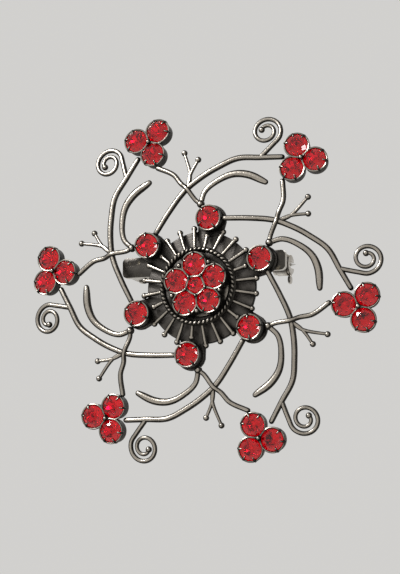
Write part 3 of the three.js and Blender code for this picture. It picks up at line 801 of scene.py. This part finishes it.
def add_scroll_arm(bm, own):
    """Adds the wires whose arm ends at the trefoil at that angle."""
    def along(stop):
        share, ahead = stop
        return on_dome(singles_ring + share * ARM_SPAN, own + ahead)

    trefoil = on_dome(trefoil_ring, own)
    notch_reach = cup_radius + ARM_WIRE / 2 + JOIN
    notch = trefoil_offset / 2 + sqrt(notch_reach**2 - (STONE_RADIUS + STONE_SPACING / 2) ** 2)
    far = own + STEP + STEP / 2
    start = step_from(on_dome(singles_ring, far), cup_radius + JOIN, far + ARM_EXIT)
    end = step_from(trefoil, notch, own + 180 - STEP)
    run = smooth_run([start, *map(along, ARM_ROUTE), end], ARM_STEPS)
    draw_wire(bm, run, lambda share: ARM_WIRE * (ARM_ENDS + (1 - ARM_ENDS) * sin(pi * share)))

    eye_reach = trefoil_reach + SCROLL_CLEARANCE + SCROLL_RADIUS + SCROLL_WIRE / 2
    eye = step_from(trefoil, eye_reach, own + SIDEWAYS)
    turns = [along(ARM_ROUTE[-1])]
    points = round(SCROLL_POINTS * SCROLL_TURNS)
    for point in range(points + 1):
        radius = SCROLL_RADIUS + (SCROLL_EYE - SCROLL_RADIUS) * point / points
        turn = own - SIDEWAYS + SCROLL_START + 360 / SCROLL_POINTS * point
        turns.append(step_from(eye, radius, turn))
    draw_wire(bm, smooth_run(turns, SCROLL_STEPS), gauge(SCROLL_WIRE, SCROLL_END))
    grain(bm, turns[-1], SCROLL_BALL, BALL_SQUASH)

    near = own + STEP / 2
    bead = step_from(on_dome(singles_ring, near), cup_radius + (BEAD + JOIN) / 2, near + BEAD_EXIT)
    grain(bm, bead, BEAD)
    next_trefoil = on_dome(trefoil_ring, own + STEP)
    link_start = step_from(next_trefoil, trefoil_reach + JOIN, own + STEP + 180)
    link = [along(stop) for stop in LINK_ROUTE]
    link[2].y -= LINK_LIFT
    draw_wire(bm, smooth_run([link_start, *link, bead], LINK_STEPS), gauge(LINK_WIRE, LINK_END))

    def leaf_width(share):
        return LEAF_WIRE + (LEAF_SWELL - LEAF_WIRE) * share**2 * (1 - LEAF_CLOSING * share**8)
    run = smooth_run([bead, *map(along, LEAF_ROUTE)], LINK_STEPS)
    draw_wire(bm, run, leaf_width, depth=LEAF_FLATNESS)
    for tip in BUD_TIPS:
        run = smooth_run([along(stop) for stop in (*BUD_ROUTE, tip)], BUD_STEPS)
        draw_wire(bm, run, gauge(BUD_WIRE, BUD_END), BUD_SIDES)
        grain(bm, run[-1], BUD_BALL, BALL_SQUASH)


for k in range(REPEATS):
    bm = bmesh.new()
    add_scroll_arm(bm, FIRST_TREFOIL + STEP * k)
    clean(bm)
    arm = finished(f"scroll_wires_{k + 1}", bm, "brooch", "antique_pewter", antique)
    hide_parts(f"scroll_arm_{k + 1}")


# ---- Stones -----------------------------------------------------------------------------
# Round cut stones of deep red glass: an eight-sided table inside kite, star and edge
# facets, and a pointed back with foil behind it that throws the light forward again.
TABLE = 0.56
FACETS = 8
CROWN_WAIST = 0.80
PAVILION_WAIST = 0.50
BLUNT = 0.1 * MM
SAME_FACET = radians(1.5)
FACING_BACK = 0.25
GLASS_REDS = (0.90, 0.001, 0.050, 1), (0.76, 0.001, 0.034, 1)
GLASS_CLOUD = 9 * MM
GLASS_POLISH = 0.02
GLASS_IOR = 1.56
GLASS_GLARE = 0.2
FOIL_REDS = (1.0, 0.34, 0.46, 1), (0.86, 0.18, 0.28, 1)
FOIL_CLOUD = 0.9 * MM
FOIL_GLOSS = 0.14

glass = Finish("red_glass", {
    "Roughness": GLASS_POLISH, "IOR": GLASS_IOR, "Transmission Weight": 1.0,
    "Specular IOR Level": GLASS_GLARE,
})
glass.feed("Base Color", glass.blend(glass.noise(GLASS_CLOUD), *GLASS_REDS))
foil = Finish("stone_foil", {"Metallic": 1.0, "Roughness": FOIL_GLOSS})
foil.feed("Base Color", foil.blend(foil.noise(FOIL_CLOUD), *FOIL_REDS))


def cut_stone(name, node, radius, seat, turn):
    """Cuts a stone whose edge is at the seat, its table towards the seat's own -Y."""
    half = GIRDLE / 2
    waist = cos(pi / FACETS)
    crown_waist = half + CROWN * radius * (1 - CROWN_WAIST * waist) / (1 - TABLE)
    pavilion_waist = half + PAVILION * radius * (1 - PAVILION_WAIST * waist)
    bm = bmesh.new()
    points = bmesh.ops.create_vert(bm, co=(0, half + PAVILION * radius - BLUNT, 0))["vert"]
    for count, reach, height, offset in (
        (FACETS, TABLE * radius, -half - CROWN * radius, 0),
        (FACETS, CROWN_WAIST * radius, -crown_waist, 0.5),
        (2 * FACETS, radius, -half, 0),
        (2 * FACETS, radius, half, 0),
        (FACETS, PAVILION_WAIST * radius, pavilion_waist, 0.5),
    ):
        for corner in range(count):
            angle = turn + 2 * pi * (corner + offset) / count
            spot = (reach * cos(angle), height, reach * sin(angle))
            points += bmesh.ops.create_vert(bm, co=spot)["vert"]
    bmesh.ops.convex_hull(bm, input=points)
    bmesh.ops.dissolve_limit(bm, angle_limit=SAME_FACET, verts=bm.verts, edges=bm.edges)
    bmesh.ops.recalc_face_normals(bm, faces=bm.faces)
    for face in bm.faces:
        face.material_index = 1 if face.normal.y > FACING_BACK else 0
    bmesh.ops.transform(bm, matrix=seat, verts=bm.verts)
    stone = finished(name, bm, "brooch", "red_glass", glass.material, foil.material, crease=0)
    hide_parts(node)


for k in range(FLOWER_STONES):
    degrees = FLOWER_TURN + 360 * k / FLOWER_STONES
    seat = Matrix.Translation(wheel_point(flower_ring, degrees, flower_edge))
    cut_stone(f"flower_cut_{k + 1}", f"flower_stone_{k + 1}", STONE_RADIUS, seat, radians(degrees))
seat = Matrix.Translation((axis.x, -flower_edge, axis.z))
cut_stone("middle_cut", "flower_stone_middle", MIDDLE_RADIUS, seat, radians(FLOWER_TURN))
single_edge = single_base + girdle_height(STONE_RADIUS)
for k in range(REPEATS):
    degrees = FIRST_SINGLE + STEP * k
    seat = Matrix.Translation(wheel_point(singles_ring, degrees, single_edge))
    cut_stone(f"single_cut_{k + 1}", f"single_stone_{k + 1}", STONE_RADIUS, seat, radians(degrees))
trefoil_edge = girdle_height(STONE_RADIUS) - trefoil_back
for k in range(REPEATS):
    for s, (place, angle) in enumerate(trefoil_places(trefoil_edge)):
        node = f"trefoil_stone_{k + 1}_{s + 1}"
        cut_stone(f"trefoil_cut_{k + 1}_{s + 1}", node, STONE_RADIUS, trefoil_seat(k) @ place, angle)


# ---- Hinge rivet ------------------------------------------------------------------------
# A nickel-plated brass rivet through both ears, its ends headed over into low domes.
RIVET_RADIUS = 0.5 * MM
HEAD_HEIGHT = 0.4 * MM
HEAD_STEPS = 6

rivet_low, rivet_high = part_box("hinge_rivet")
head_radius = (rivet_high.x - rivet_low.x) / 2
bm = bmesh.new()
outline = [(0, 0), (RIVET_RADIUS, 0), (RIVET_RADIUS, rivet_high.z - HEAD_HEIGHT)]
for step in range(HEAD_STEPS + 1):
    turn = pi / 2 * step / HEAD_STEPS
    outline.append((head_radius * cos(turn), rivet_high.z - HEAD_HEIGHT + HEAD_HEIGHT * sin(turn)))
for side in (-1, 1):
    turned(bm, outline, Matrix.Translation(hinge) @ Matrix.Rotation(side * pi / 2, 4, "X"))
clean(bm)
rivet = finished("headed_rivet", bm, "brooch", "plated_findings", nickel.material)
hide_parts("hinge_rivet")


# ---- Pin stem ---------------------------------------------------------------------------
# Hard polished steel wire that swings on the rivet. Its end is coiled twice into an eye
# that fits between the ears, and it is ground to a long point that passes the catch.
PIN_RADIUS = 0.5 * MM
PIN_POINT = 5 * MM
POINT_RADIUS = 0.05 * MM
EYE_WALL = 0.42 * MM
EYE_EDGE = 0.2 * MM
EYE_STEPS = 48
STEM_STEPS = 60
STEM_SIDES = 24
POINT_CURVE = 0.7
POLISHED_STEEL = (0.72, 0.72, 0.71, 1)
HANDLED_STEEL = (0.56, 0.55, 0.53, 1)
DRAWN_WIDTH = 0.03 * MM
DRAWN_LENGTH = 4 * MM
DRAWN_DEPTH = 0.006 * MM

steel = Finish("pin_steel", {"Metallic": 1.0})
drawn = steel.lines(DRAWN_WIDTH, DRAWN_LENGTH, 0)
handling = steel.ease(steel.noise(2 * MM, 4.0), 0.45, 0.75)
steel.feed("Base Color", steel.blend(handling, POLISHED_STEEL, HANDLED_STEEL))
steel.feed("Roughness", steel.ease(drawn + 0.6 * handling, 0.2, 1.4, 0.12, 0.38))
steel.bump(drawn, DRAWN_DEPTH)

stem_low, stem_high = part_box("pin_stem")
bm = bmesh.new()
eye_radius = hinge.x - stem_low.x
seat = Matrix.Translation(hinge) @ Matrix.Rotation(pi / 2, 4, "X")
turned(bm, [
    (eye_radius - 2 * EYE_WALL, -knuckle_half + EYE_EDGE),
    (eye_radius - 2 * EYE_WALL + EYE_EDGE, -knuckle_half),
    (eye_radius - EYE_EDGE, -knuckle_half),
    (eye_radius, -knuckle_half + EYE_EDGE),
    (eye_radius, -EYE_EDGE / 2),
    (eye_radius - EYE_EDGE / 2, 0),
    (eye_radius, EYE_EDGE / 2),
    (eye_radius, knuckle_half - EYE_EDGE),
    (eye_radius - EYE_EDGE, knuckle_half),
    (eye_radius - 2 * EYE_WALL + EYE_EDGE, knuckle_half),
    (eye_radius - 2 * EYE_WALL, knuckle_half - EYE_EDGE),
], seat, EYE_STEPS)
stem_start = hinge.x + eye_radius - 1.5 * EYE_WALL
stem_end = stem_high.x - POINT_RADIUS
run = [
    Vector((stem_start + (stem_end - stem_start) * spot / STEM_STEPS, hinge.y, 0))
    for spot in range(STEM_STEPS + 1)
]


def stem_width(share):
    """Full wire, then ground down in a long curve to the point."""
    left = min((1 - share) * (stem_end - stem_start) / PIN_POINT, 1)
    return 2 * (POINT_RADIUS + (PIN_RADIUS - POINT_RADIUS) * (1 - (1 - left) ** 2) ** POINT_CURVE)


draw_wire(bm, run, stem_width, STEM_SIDES)
clean(bm)
stem = finished("pin_wire", bm, "pin", "pin_steel", steel.material)
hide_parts("pin_stem")


# ---- Safety catch body ------------------------------------------------------------------
# A slit barrel of plated brass, open towards the cloth, on a stalk that stands in the bar.
CATCH_BORE = 1.35 * MM
CATCH_LENGTH = 2.0 * MM
CATCH_EDGE = 0.14 * MM
STALK_WIDTH = 1.8 * MM
# Reaches past the stalk's sides, with heights above the bar's back.
STALK_FLARE = (
    (0.5 * MM, -0.05 * MM), (0.5 * MM, 0.02 * MM), (0.2 * MM, 0.16 * MM), (0, 0.45 * MM),
)
SLOT_WIDTH = 1.2 * MM
BARREL_STEPS = 48

catch = joints["catch_turn"]
catch_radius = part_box("catch_body")[1].z


def slit_barrel(outline, edge):
    """Turns an outline of (radius, place along) round the catch's axis and saws a slit in it."""
    bm = bmesh.new()
    turned(bm, outline, Matrix.Translation(catch) @ Matrix.Rotation(pi / 2, 4, "Z"), BARREL_STEPS)
    clean(bm)
    for side in (-1, 1):
        bmesh.ops.bisect_plane(
            bm, geom=bm.verts[:] + bm.edges[:] + bm.faces[:],
            plane_co=(0, 0, side * SLOT_WIDTH / 2), plane_no=(0, 0, 1),
        )
    sawn = [
        face for face in bm.faces
        if abs(face.calc_center_median().z) < SLOT_WIDTH / 2 and face.calc_center_median().y > catch.y
    ]
    bmesh.ops.delete(bm, geom=sawn, context="FACES")
    bmesh.ops.holes_fill(bm, edges=[edge for edge in bm.edges if edge.is_boundary], sides=0)
    ease_edges(bm, edge)
    return bm


half = CATCH_LENGTH / 2
bm = slit_barrel([
    (CATCH_BORE, -half), (catch_radius, -half), (catch_radius, half), (CATCH_BORE, half),
], CATCH_EDGE)
stalk = bmesh.new()
block(
    stalk, (catch.x - half, bar_front / 2, -STALK_WIDTH / 2),
    (catch.x + half, catch.y - (CATCH_BORE + catch_radius) / 2, STALK_WIDTH / 2),
)
ease_edges(stalk, CATCH_EDGE)
join_in(bm, stalk)
turned(bm, [
    (0, STALK_FLARE[0][1]),
    *((STALK_WIDTH / 2 + reach, height) for reach, height in STALK_FLARE),
    (0, STALK_FLARE[-1][1]),
], Matrix.Translation((catch.x, 0, 0)) @ Matrix.Rotation(pi, 4, "X"))
clean(bm)
catch_body = finished("slit_barrel", bm, "brooch", "plated_findings", nickel.material)
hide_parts("catch_body")


# ---- Safety catch rotor -----------------------------------------------------------------
# A slit spool that turns in the barrel. Its two flanges keep it there, and a thumb lever on
# the outer one turns it to close the slit over the pin.
ROTOR_BORE = 0.65 * MM
ROTOR_RADIUS = 1.27 * MM
FLANGE_RADIUS = 1.82 * MM
FLANGE_THICKNESS = 0.5 * MM
ROTOR_EDGE = 0.1 * MM
LEVER_ROOT = 0.55 * MM
LEVER_INSET = 0.06 * MM
LEVER_PAD = 0.8 * MM

rotor_low, rotor_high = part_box("catch_rotor")
left, right = rotor_low.x - catch.x, rotor_high.x - catch.x
bm = slit_barrel([
    (ROTOR_BORE, left), (FLANGE_RADIUS, left), (FLANGE_RADIUS, left + FLANGE_THICKNESS),
    (ROTOR_RADIUS, left + FLANGE_THICKNESS), (ROTOR_RADIUS, right - FLANGE_THICKNESS),
    (FLANGE_RADIUS, right - FLANGE_THICKNESS), (FLANGE_RADIUS, right), (ROTOR_BORE, right),
], ROTOR_EDGE)
lever = bmesh.new()
block(
    lever,
    (rotor_high.x - FLANGE_THICKNESS + LEVER_INSET, catch.y - LEVER_ROOT, rotor_low.z + LEVER_PAD),
    (rotor_high.x - LEVER_INSET, catch.y + LEVER_ROOT, -ROTOR_RADIUS),
)
ease_edges(lever, ROTOR_EDGE)
join_in(bm, lever)
pad = Matrix.Translation((rotor_high.x - FLANGE_THICKNESS, catch.y, rotor_low.z + LEVER_PAD))
turned(bm, [
    (0, 0), (LEVER_PAD - ROTOR_EDGE, 0), (LEVER_PAD, ROTOR_EDGE), (LEVER_PAD, FLANGE_THICKNESS - ROTOR_EDGE),
    (LEVER_PAD - ROTOR_EDGE, FLANGE_THICKNESS), (0, FLANGE_THICKNESS),
], pad @ Matrix.Rotation(pi / 2, 4, "Z"))
clean(bm)
rotor = finished("slit_spool", bm, "rotor", "plated_findings", nickel.material)
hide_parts("catch_rotor")
